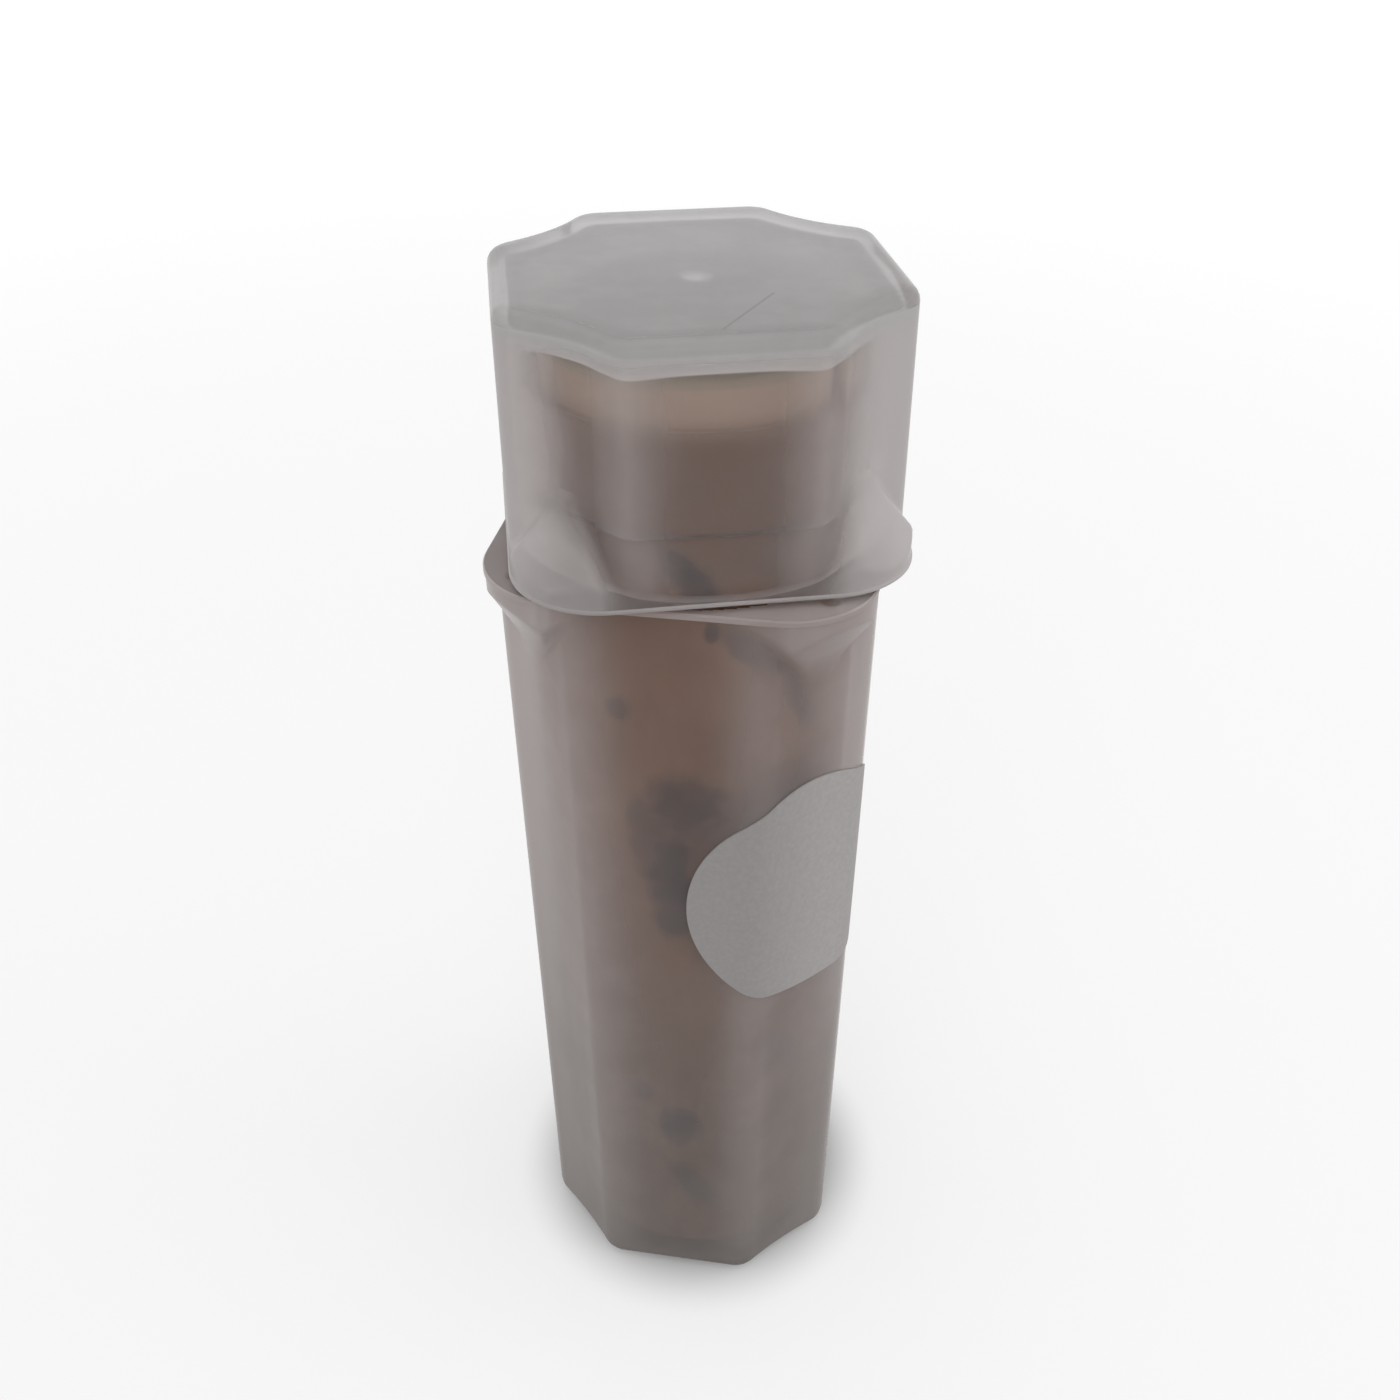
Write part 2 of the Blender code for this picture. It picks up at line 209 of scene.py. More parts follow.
# The plastic's tones
BASE_TONE = (0.30, 0.27, 0.257)
WALL_TONE = (0.52, 0.467, 0.457)
FLANGE_TONE = (0.52, 0.475, 0.468)
CAP_TONE = (0.54, 0.508, 0.502)
TOP_TONE = (0.50, 0.49, 0.487)
INSIDE_TONE = (1.0, 0.96, 0.95)
# A near-white tone for the band of painted light at the top of the cap's inside
PAINTED_LIGHT_BAND_TONE = (0.92, 0.90, 0.895)
CEILING_TONE = (0.49, 0.47, 0.465)
GATE_TONE = (0.9, 0.9, 0.9)
RIM_TONE = (0.53, 0.518, 0.515)
PLATE_TONE = (0.60, 0.59, 0.59)
NECK_TONE = (0.90, 0.87, 0.86)
BORE_TONE = (1.0, 1.0, 1.0)
# A dark tint that paints shade on the cap's ledge and in the slit between the flanges
PAINTED_SHADE_TONE = (0.16, 0.14, 0.13)
SCRATCH_TONE = (0.3, 0.29, 0.29)

# Changes of tone up the plastic: from one level to the other, to a tone. The tube's skin is darker towards
# the bottom.
TUBE_RAMPS = ((0.0, 62.0, WALL_TONE),)
CAP_RAMPS = ((80.0, 82.0, TOP_TONE),)
# The cap's inside turns pale near the top: the band of painted light
INSIDE_RAMPS = ((80.2, 80.5, PAINTED_LIGHT_BAND_TONE),)
PLATE_RAMPS = ((79.0, 80.5, RIM_TONE), (82.3, 82.66, PLATE_TONE))

# The facings over which the plastic turns hazy, from 0 seen face on to 1 seen along the surface
TUBE_FACINGS = (0.15, 0.85)
CAP_FACINGS = (0.22, 0.7)
FLAT_FACINGS = (0.1, 1.0)
PLATE_FACINGS = (0.5, 1.2)

# How much the haze of a rounded finish follows a round wall rather than the real one
ROUNDNESS = 12.0

# The plastic's surface
PLASTIC_IOR = 1.12
PLASTIC_ROUGHNESS = 0.25
CLEAR_IOR = 1.01
CLEAR_ROUGHNESS = 0.2
CLEAR_CLOUD_SIZE = 3.0
CLEAR_CLOUD_SHADE = 0.94
STREAK_SIZE = 4.0
STREAK_STRETCH = (1.0, 1.0, 0.25)
STREAK_POWERS = (0.8, 1.2)
CLOUD_SIZE = 3.5
CLOUD_NOISE = (0.35, 0.7)
CLOUD_POWERS = (0.94, 1.06)
WAVE_SIZE = 2.5
WAVE_DEPTH = 0.006 * MM
GATE_FADE = (1.2, 0.6)

# Scratches in the cap's top: the ends and the half width
SCRATCHES = (((3.1, -10.4, 82.68), (5.1, -4.3, 82.68), 0.14),)
SCRATCH_STRENGTH = 0.5

# Most of a noise lies between these values
MIDDLE_NOISE = (0.3, 0.7)

# The kraft paper; the fades are measured down from the roll's top, and in from its shoulder. Near the top
# the paper has painted light, a lighter tan down its side and a pale crimped top, and painted shade, a
# darker band round its shoulder
PAPER_DARK = (0.28, 0.16, 0.105)
PAPER_LIGHT = (0.34, 0.2, 0.13)
FIBRE_TONE = (0.45, 0.27, 0.16)
INK_TONE = (0.05, 0.042, 0.05)
TOP_END_LIGHT_TONE = (0.66, 0.52, 0.41)
SHOULDER_SHADE_TONE = (0.55, 0.49, 0.38)
CRIMP_LIGHT_TONE = (0.78, 0.71, 0.63)
PAPER_ROUGHNESS = 0.85
PAPER_CLOUD_SIZE = 9.0
FIBRE_SIZE = 0.5
FIBRE_STRETCH = (1.0, 1.0, 0.35)
FIBRE_NOISE = (0.4, 0.8)
FIBRE_STRENGTH = 0.2
FIBRE_DEPTH = 0.006 * MM
TOP_END_LIGHT_FADE = (4.4, 2.2)
SHOULDER_SHADE_FADE = (0.9, 0.7)
CRIMP_LIGHT_FADE = 0.4

# Ink smudges on the roll's side: turn in degrees, level, half length, half width, tilt in degrees, strength
SMUDGES = (
    (89, 68.3, 0.6, 0.6, 0, 0.6),
    (97, 66.9, 2.4, 0.9, -45, 0.95),
    (105, 63.3, 0.7, 0.5, 85, 0.7),
    (122, 61.4, 3.1, 1.0, -40, 0.6),
    (139, 57.1, 2.8, 0.9, -65, 0.6),
    (68, 56.8, 1.0, 0.8, 60, 0.5),
    (94, 49.5, 2.7, 2.7, 0, 0.75),
    (82, 45.8, 4.3, 1.7, -83, 0.55),
    (89, 42.4, 4.8, 1.7, -88, 0.9),
    (73, 19.9, 1.2, 0.9, 60, 0.6),
    (135, 23.5, 3.2, 1.6, -64, 0.6),
    (91, 16.7, 2.1, 1.5, 85, 1.0),
    (98, 9.1, 2.8, 1.3, -55, 0.85),
)
INK_GRAIN_SIZE = 1.3
INK_GRAIN = 2.2
INK_FADE = (1.9, 0.1)

# The label's paper, painted lighter towards +X as if lit from that side: its tones at the shaded and at the
# lit side
LABEL_DARK = ((0.31, 0.296, 0.29), (0.42, 0.402, 0.395))
LABEL_LIGHT = ((0.34, 0.325, 0.319), (0.46, 0.44, 0.433))
LABEL_LIT_SIDE = (5.0, 11.5)
LABEL_ROUGHNESS = 0.7
LABEL_FIBRE_SIZE = 0.35
LABEL_FIBRE_NOISE = (0.3, 0.75)
LABEL_FIBRE_DEPTH = 0.004 * MM

# The coins' copper
COPPER_DARK = (0.22, 0.10, 0.06)
COPPER_LIGHT = (0.52, 0.26, 0.15)
COPPER_ROUGHNESS = (0.55, 0.3)
TARNISH_SIZE = 2.2
COPPER_GRAIN_SIZE = 0.3
COPPER_GRAIN_DEPTH = 0.006 * MM

# The floor and the light. The floor's glows grow from one distance to the other, to a strength; round the
# tube's base, before the first starts, the floor has no glow, a painted contact shadow.
# A lamp has a name, a place, a size and a power.
WHITE = (1.0, 1.0, 1.0, 1.0)
FLOOR_HALF = 2.0
FLOOR_GREY = (0.5, 0.5, 0.5, 1.0)
FLOOR_ROUGHNESS = 0.9
FLOOR_GLOWS_AND_SHADOW = ((9.0, 17.0, 0.5), (100.0, 600.0, 0.15))
SURROUND_LIGHT = 0.75
LAMP_AIM = Vector((0, 0, 0.04))
LAMPS = (
    ("key", (0.6, 0.1, 0.45), 0.5, 0.55),
    ("fill", (0.0, -0.62, 0.5), 0.6, 1.0),
)


def turns(columns):
    """The turn of each of these columns round the axis."""
    return np.arange(columns) * FULL_TURN / columns


def from_diagonal():
    """Each column's turn from the nearest diagonal of the plan."""
    return (turns(PLASTIC_COLUMNS) % QUARTER_TURN) - QUARTER_TURN / 2


def arc(centre, radius, start, end):
    """Points along an arc, from one angle to the other."""
    angles = np.linspace(start, end, OUTLINE_STEPS)
    return np.column_stack((centre[0] + radius * np.cos(angles), centre[1] + radius * np.sin(angles)))


def closed_plan(quarter):
    """The whole outline from one corner's points, as radii over even turns."""
    flat_end, level = quarter[0]
    flat = np.linspace(-flat_end, flat_end, OUTLINE_STEPS)
    points = np.vstack((np.column_stack((flat, np.full(OUTLINE_STEPS, level))), quarter))
    whole = []
    for _ in range(4):
        whole.append(points)
        points = np.column_stack((-points[:, 1], points[:, 0]))
    whole = np.vstack(whole)
    angles = np.arctan2(whole[:, 1], whole[:, 0]) % FULL_TURN
    radii = np.hypot(whole[:, 0], whole[:, 1])
    return np.interp(turns(PLASTIC_COLUMNS), angles, radii, period=FULL_TURN)


class Scalloped:
    """The plan of a square tube whose corners are shallow scallops, grown or shrunk by an offset."""

    def __init__(self, half, flat_half, scallop):
        self.half = half
        self.middle = (half + flat_half) / math.sqrt(2) - scallop
        reach = half ** 2 + flat_half ** 2 - self.middle ** 2
        away = reach / (math.sqrt(2) * (half + flat_half) - 2 * self.middle)
        self.hollow_radius = away - self.middle
        self.hollow_centre = Vector((away, -away)) / math.sqrt(2)
        rise = half - CORNER_ROUND + self.hollow_centre.y
        run = math.sqrt((self.hollow_radius + CORNER_ROUND) ** 2 - rise ** 2)
        self.corner_centre = Vector((self.hollow_centre.x - run, CORNER_ROUND - half))

    def corners(self):
        """How near each column is to one of the eight rounded corners, from 0 to 1."""
        to_hollow = (self.hollow_centre - self.corner_centre).normalized()
        corner = self.corner_centre + (to_hollow + Vector((0, -1))).normalized() * CORNER_ROUND
        beside = abs(math.atan2(corner.y, corner.x) + math.pi / 4)
        away = np.abs(from_diagonal()) - beside
        return np.exp(-(self.half * np.sin(away) / CORNER_SPREAD) ** 2)

    def radii(self, offset):
        """The outline's radii, this far outside the plan."""
        inward = (self.corner_centre - self.hollow_centre).normalized()
        bottom = math.radians(-90)
        fillet_end = bottom + math.atan2(-inward.x, inward.y)
        fillet = arc(self.corner_centre, CORNER_ROUND + offset, bottom, fillet_end)
        start = math.atan2(inward.y, inward.x)
        hollow = arc(self.hollow_centre, self.hollow_radius - offset, start, math.radians(270) - start)
        mirrored = -fillet[::-1, ::-1]
        return closed_plan(np.vstack((fillet, hollow, mirrored)))


def rounded_square(half):
    """The radii of a square of this half width, with the ears' rounds as its corners."""
    centre = (half - EAR_ROUND, EAR_ROUND - half)
    return closed_plan(arc(centre, EAR_ROUND, math.radians(-90), 0))


def soft_max(first, second, width):
    """The larger of two, with a fillet of about this width where they meet."""
    near = np.maximum(width - np.abs(first - second), 0) / width
    return np.maximum(first, second) + near ** 2 * width / 4


def softened(values, spread):
    """Values round the tube, smoothed over turns of about this spread."""
    away = (turns(len(values)) + math.pi) % FULL_TURN - math.pi
    weights = np.exp(-((away / spread) ** 2))
    whole = np.fft.ifft(np.fft.fft(values) * np.fft.fft(weights / weights.sum()))
    return whole.real


def quarter_round(radius):
    """(inset, rise) steps round an edge of this radius, from the flat face to the wall."""
    angles = [QUARTER_TURN * step / ROUND_STEPS for step in range(ROUND_STEPS + 1)]
    return [(radius * (1 - math.sin(angle)), radius * (1 - math.cos(angle))) for angle in angles]


def wall_levels(start, gusset, flange, rings):
    """The levels of a wall's rings, which are closer together from the gussets' tips to the flange."""
    plain = np.linspace(start, gusset, rings)
    return np.concatenate((plain, np.linspace(gusset, flange, GUSSET_RINGS)[1:]))


Ring = namedtuple("Ring", "radii levels haze finish")


class Skin:
    """A skin of rings of points.

    Each ring has radii, levels, a haze and the finish of the band between it and the ring before.
    """

    def __init__(self, columns, turn=0.0):
        self.columns = columns
        self.turn = turn
        self.rings = []

    def add(self, radii, levels, haze=0.0, finish=SKIN):
        rows = (radii, levels, haze, finish)
        self.rings.append(Ring(*(np.broadcast_to(np.asarray(row), (self.columns,)) for row in rows)))

    def mesh(self, name, hollow=False):
        """The rings' mesh, with closed ends, or joined from the last ring to the first if hollow."""
        angles = turns(self.columns) + self.turn
        corners = []
        for ring in self.rings:
            plan = (ring.radii * np.cos(angles), ring.radii * np.sin(angles))
            corners.append(np.column_stack((*plan, ring.levels)))
        count = len(self.rings)
        faces = []
        finishes = []
        for upper in range(0 if hollow else 1, count):
            lower = (upper - 1) % count
            for column in range(self.columns):
                after = (column + 1) % self.columns
                first = lower * self.columns
                second = upper * self.columns
                faces.append((first + column, first + after, second + after, second + column))
                finishes.append(self.rings[upper].finish[column])
        if not hollow:
            faces.append(tuple(reversed(range(self.columns))))
            faces.append(tuple(range((count - 1) * self.columns, count * self.columns)))
            finishes += [self.rings[1].finish[0], self.rings[-1].finish[0]]
        mesh = bpy.data.meshes.new(name)
        mesh.from_pydata(np.vstack(corners).tolist(), [], faces)
        mesh.polygons.foreach_set("material_index", finishes)
        haze = np.concatenate([ring.haze for ring in self.rings]).astype(float)
        mesh.attributes.new("haze", "FLOAT", "POINT").data.foreach_set("value", haze)
        mesh.shade_smooth()
        mesh.set_sharp_from_angle(angle=SHARP_ANGLE)
        return mesh


def add_piece(name, mesh, materials, body, node):
    """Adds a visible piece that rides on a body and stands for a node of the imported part."""
    for material in materials:
        mesh.materials.append(material)
    piece = bpy.data.objects.new(name, mesh)
    bpy.context.scene.collection.objects.link(piece)
    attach(piece, body)
    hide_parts(node)


class Flange:
    """A flange with four ears, and the gussets that carry the ears."""

    def __init__(self, half, middle):
        square = half + FLANGE_PROUD
        self.middle = middle
        self.tip = square * math.sqrt(2) - EAR_ROUND * (math.sqrt(2) - 1)
        self.radii = rounded_square(square)
        self.inset = self.radii - FLANGE_ROUND

    def flare(self, wall, away):
        """The radii of the wall with the ears' gussets at this distance from the flange.

        A gusset is what a bell round the tube's axis and a cone on the scallop's middle have in common.
        """
        if away >= GUSSET_HEIGHT:
            return wall
        share = max((away - EAR_EDGE) / (GUSSET_HEIGHT - EAR_EDGE), 0)
        bell = self.middle + (self.tip - self.middle) * (1 - share) ** GUSSET_HOLLOW
        cone = GUSSET_REACH + (GUSSET_TIP - GUSSET_REACH) * away / GUSSET_HEIGHT
        across = self.middle * np.sin(from_diagonal())
        along = self.middle * np.cos(from_diagonal())
        side = along + np.sqrt(np.maximum(cone ** 2 - across ** 2, 0))
        gusset = np.minimum(np.minimum(self.inset, bell), side)
        proud = soft_max(wall, gusset, GUSSET_FILLET) - wall
        proud = softened(proud, GUSSET_SOFTEN / self.middle)
        return np.maximum(wall, np.minimum(wall + proud, self.inset))

    def dents(self, radii):
        """How deep the round ejector marks are at these radii, one on each ear."""
        centre = self.tip - PIN_MARK_INSET
        apart = np.sqrt(radii ** 2 + centre ** 2 - 2 * radii * centre * np.cos(from_diagonal()))
        share = np.clip((PIN_MARK_RADIUS - apart) / (PIN_MARK_SLOPE * PIN_MARK_RADIUS), 0, 1)
        return PIN_MARK_DEPTH * share * share * (3 - 2 * share)

    def add_edge(self, skin, start, end, finish):
        """Adds the rings round the flange's edge, from the gussets' side to the flat side."""
        way = math.copysign(1, end - start)
        skin.add(self.inset, start + way * FLANGE_ROUND / 4, EDGE_HAZE, finish)
        skin.add(self.radii, start + way * FLANGE_ROUND, EDGE_HAZE, finish)
        skin.add(self.radii, end - way * FLANGE_ROUND, EDGE_HAZE, finish)
        skin.add(self.inset, end, EDGE_HAZE, finish)

    def plate(self, inner):
        """Rings over the flange's flat side, in to a round edge: their radii, dents and haze.

        The plate is clearer in the ejector marks.
        """
        for share in np.linspace(0, 1, PLATE_RINGS)[1:]:
            radii = self.inset * (1 - share) + inner * share
            dents = self.dents(radii)
            yield radii, dents, PLATE_HAZE + (PIN_MARK_HAZE - PLATE_HAZE) * dents / PIN_MARK_DEPTH


def wall_haze(plan, radii, wall, even_haze, corner_haze, flare_haze):
    """The haze of a wall's skin: more at the corners, and most where a gusset makes it thick."""
    share = np.clip((radii - wall) / FLARE_FULL, 0, 1)
    thin = even_haze + corner_haze * plan.corners()
    return thin + (flare_haze - thin) * share


def tube_mesh(bore_at_floor, rim_level):
    """The tube from under its base, up the outside, over the rim and down the bore to its floor."""
    bore_at_rim = bore_at_floor + BORE_DRAFT * (rim_level - FLOOR_THICKNESS)
    neck = bore_at_rim + NECK_WALL
    flange_top = rim_level - NECK_HEIGHT
    flange_bottom = flange_top - TUBE_FLANGE
    plan = Scalloped(bore_at_floor + BASE_WALL, TUBE_FLAT_HALF, TUBE_SCALLOP)
    grown = TUBE_DRAFT * flange_top
    flange = Flange(plan.half + grown, plan.middle + grown)
    skin = Skin(PLASTIC_COLUMNS)
    # The base and its rounded edge
    for share in BASE_SHARES:
        skin.add(plan.radii(-BASE_ROUND) * share, 0, FLOOR_HAZE)
    for inset, rise in quarter_round(BASE_ROUND):
        skin.add(plan.radii(TUBE_DRAFT * rise - inset), rise, FLOOR_HAZE)
    # Up the outside
    for level in wall_levels(TUBE_RINGS_FROM, flange_bottom - GUSSET_HEIGHT, flange_bottom, TUBE_RINGS):
        wall = plan.radii(TUBE_DRAFT * level)
        radii = flange.flare(wall, flange_bottom - level)
        low = max(1 - level / LOW_REACH, 0)
        even_haze = TUBE_HAZE + LOW_HAZE * low
        corner_haze = TUBE_CORNER_HAZE + LOW_CORNER_HAZE * low
        skin.add(radii, level, wall_haze(plan, radii, wall, even_haze, corner_haze, TUBE_FLARE_HAZE))
    # Round the flange's edge and over its top, in to the neck
    flange.add_edge(skin, flange_bottom, flange_top, SKIN)
    # Next to the neck the flange's top, and the neck's fillet, take the dark tint: painted shade in the
    # slit under the cap
    for radii, dents, haze in flange.plate(neck + NECK_FILLET):
        skin.add(radii, flange_top - dents, haze, np.where(radii < neck + SLIT_SHADE_REACH, PAINTED_SHADE, PLATE))
    for inset, rise in quarter_round(NECK_FILLET)[1:]:
        skin.add(neck + inset, flange_top + rise, 0, PAINTED_SHADE)
    # Up the neck, over the rim and down the bore
    skin.add(neck, rim_level - 2 * RIM_ROUND, 0, NECK)
    for inset, rise in reversed(quarter_round(RIM_ROUND)):
        skin.add(neck - inset, rim_level - rise, 0, NECK)
    for inset, rise in quarter_round(RIM_ROUND):
        skin.add(bore_at_rim + inset, rim_level - rise, 0, BORE)
    for share in np.linspace(0, 1, BORE_RINGS)[1:-1]:
        level = rim_level - (rim_level - FLOOR_THICKNESS) * share
        skin.add(bore_at_floor + BORE_DRAFT * (level - FLOOR_THICKNESS), level, 0, BORE)
    for inset, rise in reversed(quarter_round(FLOOR_ROUND)):
        skin.add(bore_at_floor - inset, FLOOR_THICKNESS + rise, 0, BORE)
    for share in FLOOR_SHARES:
        skin.add(bore_at_floor * share, FLOOR_THICKNESS, INSIDE_FLOOR_HAZE, NECK)
    return skin.mesh("tube_moulding")


def cap_mesh(neck, bottom, top):
    """The cap from the middle of its top, down the outside and up the inside to the gate nub."""
    height = top - bottom
    grip = neck + CAP_PLAY
    plan = Scalloped(grip + GRIP_WALL - CAP_DRAFT * height, CAP_FLAT_HALF, CAP_SCALLOP)
    grown = CAP_DRAFT * height
    flange = Flange(plan.half + grown, plan.middle + grown)
    skin = Skin(PLASTIC_COLUMNS, CAP_TURN)
    # Over the top and its rounded edge
    for share in TOP_SHARES:
        skin.add(plan.radii(-CAP_EDGE_ROUND) * share, top, TOP_HAZE, PLATE)
    for inset, drop in quarter_round(CAP_EDGE_ROUND)[1:]:
        haze = TOP_HAZE + (TOP_EDGE_HAZE - TOP_HAZE) * math.sqrt(drop / CAP_EDGE_ROUND)
        skin.add(plan.radii(CAP_DRAFT * drop - inset), top - drop, haze, PLATE)
    # Down the outside
    plate_top = bottom + CAP_FLANGE
    for level in wall_levels(top - 2 * CAP_EDGE_ROUND, plate_top + GUSSET_HEIGHT, plate_top, CAP_RINGS):
        wall = plan.radii(CAP_DRAFT * (top - level))
        radii = flange.flare(wall, level - plate_top)
        skin.add(radii, level, wall_haze(plan, radii, wall, 0, CAP_CORNER_HAZE, CAP_FLARE_HAZE), CAP)
    # Round the flange's edge and under it
    flange.add_edge(skin, plate_top, bottom, CAP)
    for radii, dents, haze in flange.plate(grip + MOUTH_CHAMFER):
        skin.add(radii, bottom + dents, haze, PLATE)
    add_cap_inside(skin, plan, grip, bottom, top)
    mesh = skin.mesh("cap_moulding")
    mesh.flip_normals()
    return mesh


def add_cap_inside(skin, plan, grip, bottom, top):
    """Adds the rings of the cap's inside, from its mouth to the gate nub under the ceiling's middle."""
    mouth = bottom + MOUTH_CHAMFER
    ledge = bottom + GRIP_HEIGHT
    ceiling = top - CAP_TOP

    def inside_at(level):
        radii = plan.radii(CAP_DRAFT * (top - level) - CAP_WALL)
        return soft_max(radii, grip + LEDGE_STEP, INSIDE_FILLET)

    # Up the grip, over its ledge and up the inside to the pale band of painted light
    haze = INSIDE_HAZE + INSIDE_CORNER_HAZE * plan.corners()
    for share in (0.0, 0.5, 1.0):
        skin.add(grip, mouth + (ledge - bottom - MOUTH_CHAMFER) * share, haze, INSIDE)
    # The cap's ledge takes the dark tint: a painted shade line
    skin.add(inside_at(ledge), ledge, haze, PAINTED_SHADE)
    highest = inside_at(ceiling)
    band = ceiling - BAND_DEEP - BAND_FOLLOW * softened(highest - highest.min(), BAND_SOFTEN)
    for share in np.linspace(0, 1, INSIDE_RINGS)[1:]:
        level = ledge + (band - BAND_EDGE - ledge) * share
        skin.add(inside_at(level.mean()), level, haze, INSIDE)
    # The band: pale, hazy rings of painted light
    for level in (band, np.full(PLASTIC_COLUMNS, ceiling - RIM_ROUND)):
        skin.add(inside_at(level.mean()), level, PAINTED_LIGHT_BAND_HAZE, INSIDE)
    # The ceiling, with the pale band of painted light round its outline, and the gate nub that hangs from
    # it
    rim = plan.radii(CAP_DRAFT * CAP_TOP - CAP_WALL - RIM_ROUND)
    skin.add(rim, ceiling, PAINTED_LIGHT_BAND_HAZE, INSIDE)
    inner = rim - BAND_WIDTH
    skin.add(inner, ceiling, PAINTED_LIGHT_BAND_HAZE, CEILING)
    for share in CEILING_SHARES:
        skin.add(inner * share, ceiling, CEILING_HAZE, CEILING)
    for share in GATE_SHARES:
        hang = GATE_HEIGHT * max(1 - share ** 2, 0) ** GATE_TAPER
        gate_haze = CEILING_HAZE + (1 - CEILING_HAZE) * hang / GATE_HEIGHT
        skin.add(GATE_RADIUS * share, ceiling - hang, gate_haze, CEILING)


def wrapper_mesh(outside, bottom, top):
    """The paper sleeve: a seam, faint ripples over the coins' edges, and pleats where it is rolled in."""
    skin = Skin(PAPER_COLUMNS)
    around = turns(PAPER_COLUMNS)
    past_seam = (around - SEAM_FROM) % FULL_TURN
    seam = SEAM_STEP * np.clip(1 - past_seam / SEAM_FADE, 0, 1)
    wobble = sum(height * np.sin(count * around + phase) for count, height, phase in PLEAT_WAVES)
    pleat = 0.5 + 0.5 * np.cos(PLEATS * around + wobble)
    wall = outside - SEAM_STEP + seam
    lip = outside - CRIMP_WIDTH + LIP_WAVE * wobble * pleat
    inside = outside - PAPER_WALL

    def crimp(end, inward):
        """Rings over a rolled-in end, from inside the sleeve out; inward is +1 at the bottom."""
        rings = [
            (inside, end + inward * CRIMP_THICKNESS),
            (lip + CRIMP_ROUND, end + inward * CRIMP_THICKNESS),
            (lip, end + inward * (CRIMP_THICKNESS - CRIMP_ROUND)),
            (lip, end + inward * (CRIMP_ROUND + PLEAT_DEPTH * pleat)),
        ]
        for share in np.linspace(0, 1, CRIMP_RINGS):
            radii = (lip + CRIMP_ROUND) * (1 - share) + (wall - SHOULDER_ROUND) * share
            rings.append((radii, end + inward * PLEAT_DEPTH * pleat * (1 - share ** 2)))
        for inset, rise in quarter_round(SHOULDER_ROUND)[1:]:
            rings.append((wall - inset, end + inward * rise))
        return rings

    stack_bottom = bottom + CRIMP_THICKNESS
    pitch = (top - bottom - 2 * CRIMP_THICKNESS) / COIN_COUNT
    middle = []
    for coin in range(1, COIN_COUNT):
        for part, dip in ((-RIPPLE_HALF, 0.0), (0.0, COIN_RIPPLE), (RIPPLE_HALF, 0.0)):
            middle.append((wall - dip, stack_bottom + pitch * (coin + part)))
    for radii, levels in crimp(bottom, 1) + middle + crimp(top, -1)[::-1]:
        skin.add(radii, levels)
    return skin.mesh("paper_sleeve", hollow=True)


def coin_mesh(name, radius, bottom, top):
    """A coin with a beaded rim and a plain petalled rosette on each face."""
    skin = Skin(COIN_COLUMNS)
    around = turns(COIN_COLUMNS)
    inner = radius - COIN_RIM_WIDTH
    petals = PETAL_REACH * np.abs(np.cos(PETALS * around / 2)) ** PETAL_FULLNESS
    beads = np.clip(np.cos(BEADS * around), 0, 1)

    def face(level, inward):
        """Rings over a face, from its middle to the coin's edge; inward is +1 at the bottom."""
        rings = []
        for reach in np.linspace(FIELD_START, inner - FIELD_MARGIN, FIELD_RINGS):
            petal = np.clip((petals - reach) / PETAL_EDGE, 0, 1) * np.clip(reach / PETAL_RISE, 0, 1)
            bead = beads * np.clip(1 - ((reach - inner + BEAD_INSET) / BEAD_HALF) ** 2, 0, 1)
            rings.append((reach, level + inward * (COIN_FIELD_DEPTH - RELIEF * np.maximum(petal, bead))))
        rings.append((inner, level))
        rings.append((radius - COIN_EDGE, level))
        rings.append((radius, level + inward * COIN_EDGE))
        return rings

    for reach, level in face(bottom, 1) + face(top, -1)[::-1]:
        skin.add(reach, level)
    return skin.mesh(name)


def label_mesh(bore_at_floor):
    """The label on the tube's outside, wrapped over the scallop between the flats at -Y and +X."""
    plan = Scalloped(bore_at_floor + BASE_WALL, TUBE_FLAT_HALF, TUBE_SCALLOP)
    outline = plan.radii(TUBE_DRAFT * LABEL_LEVEL)
    fine = np.linspace(math.radians(270), FULL_TURN, LABEL_STEPS)
    radii = np.interp(fine, turns(PLASTIC_COLUMNS), outline, period=FULL_TURN)
    points = np.column_stack((radii * np.cos(fine), radii * np.sin(fine)))
    lengths = np.concatenate(([0], np.cumsum(np.hypot(*np.diff(points, axis=0).T))))
    centre = lengths[-1] / 2 + LABEL_SHIFT
    corners = []
    for column in range(1, LABEL_COLUMNS):
        swing = math.pi * column / LABEL_COLUMNS
        turn = np.interp(centre - LABEL_RADIUS * math.cos(swing), lengths, fine)
        wall = np.interp(turn, fine, radii)
        rises = LABEL_RADIUS * math.sin(swing) * np.linspace(-1, 1, LABEL_ROWS)
        over = [(rise, LABEL_GAP + LABEL_THICKNESS) for rise in rises]
        under = [(rise, LABEL_GAP) for rise in rises[::-1]]
        for rise, offset in over + under:
            reach = wall + TUBE_DRAFT * rise + offset
            corners.append((reach * math.cos(turn), reach * math.sin(turn), LABEL_LEVEL + rise))
    ring = 2 * LABEL_ROWS
    faces = [tuple(reversed(range(ring))), tuple(range(len(corners) - ring, len(corners)))]
    for first in range(0, len(corners) - ring, ring):
        for spot in range(ring):
            after = first + (spot + 1) % ring
            faces.append((first + spot, after, after + ring, first + spot + ring))
    mesh = bpy.data.meshes.new("label_disc")
    mesh.from_pydata(corners, [], faces)
    mesh.flip_normals()
    mesh.shade_smooth()
    mesh.set_sharp_from_angle(angle=SHARP_ANGLE)
    return mesh


# A Mix node has like-named sockets for each kind of value: these are the places of its colours.
MIX_FIRST_COLOUR = 6
MIX_SECOND_COLOUR = 7
MIX_COLOUR = 2

# The vector operations whose result is a number
NUMBER_OPERATIONS = ("DISTANCE", "DOT_PRODUCT", "LENGTH")


